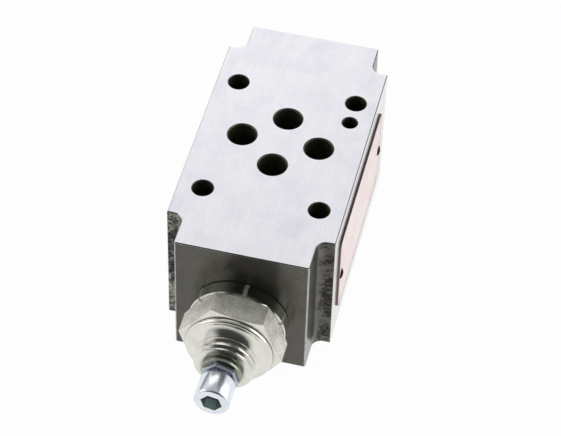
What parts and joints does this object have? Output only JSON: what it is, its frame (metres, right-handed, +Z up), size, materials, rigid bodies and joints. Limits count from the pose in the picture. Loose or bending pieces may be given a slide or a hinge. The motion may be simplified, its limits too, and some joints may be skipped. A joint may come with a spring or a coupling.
{
  "type": "hydraulic sandwich valve",
  "caption": "Stackable hydraulic relief valve plate: notched steel block with port and bolt bores, side nameplate and a hexagon-bodied adjuster with locking nut on one end.",
  "frame": {"origin": "centre of the bolt pattern on the bottom face", "axes": "+Z up, normal to both stacking faces; +X along the valve axis, away from the adjuster; nameplate on -Y"},
  "size_m": [0.113, 0.0454, 0.04],
  "materials": {
    "housing": "ground faces on top and sides, darker machined ends, cast notches",
    "zinc_steel": "turned steel, warm zinc plating",
    "bright_zinc": "bright blue-white zinc plating",
    "hard_steel": "ground hardened steel",
    "spring_steel": "oiled spring steel",
    "plug_steel": "phosphated steel",
    "rubber": "matt black",
    "ptfe": "waxy white",
    "nameplate": "pale pink printed sheet with dark brown edges, left bare",
    "rivet": "dark drive rivets"
  },
  "bodies": {
    "block": {"housing": "housing", "port_seals": "rubber", "cartridge_sleeve": "zinc_steel", "collar_seal": "rubber", "nose_seal": "rubber", "nose_backup_ring": "ptfe", "valve_seat": "hard_steel", "seat_retainer": "spring_steel", "gallery_plug": "plug_steel", "nameplate": "nameplate", "nameplate_rivets": "rivet"},
    "poppet": {"poppet": "hard_steel"},
    "spring_plate": {"spring_plate": "hard_steel", "spring_plate_seal": "rubber", "thrust_ball": "hard_steel", "pressure_spring": "spring_steel"},
    "adjusting_screw": {"adjusting_screw": "bright_zinc", "screw_stop_ring": "spring_steel"},
    "seal_washer": {"seal_washer": "plug_steel"},
    "lock_nut": {"lock_nut": "bright_zinc"}
  },
  "joints": [
    {"name": "poppet_lift", "type": "slide", "parent": "block", "child": "poppet", "axis": [-1, 0, 0], "range_m": [0, 0.0015], "stiffness_N_per_m": 20000, "springref_m": -0.004, "deforming": ["pressure_spring"]},
    {"name": "screw_advance", "type": "slide", "parent": "block", "child": "spring_plate", "axis": [1, 0, 0], "range_m": [-0.0035, 0.0005]},
    {"name": "screw_turn", "type": "hinge", "parent": "spring_plate", "child": "adjusting_screw", "pos_m": [-0.066, 0, 0.0167], "axis": [1, 0, 0], "range_deg": [-1260, 180]},
    {"name": "nut_advance", "type": "slide", "parent": "block", "child": "seal_washer", "axis": [1, 0, 0], "range_m": [-0.0005, 0]},
    {"name": "nut_turn", "type": "hinge", "parent": "seal_washer", "child": "lock_nut", "pos_m": [-0.0615, 0, 0.0167], "axis": [1, 0, 0], "range_deg": [-180, 0]}
  ],
  "couplings": [
    {"joint": "screw_advance", "follows": "screw_turn", "m_per_rad": 0.00015915},
    {"joint": "nut_advance", "follows": "nut_turn", "m_per_rad": 0.00015915}
  ]
}
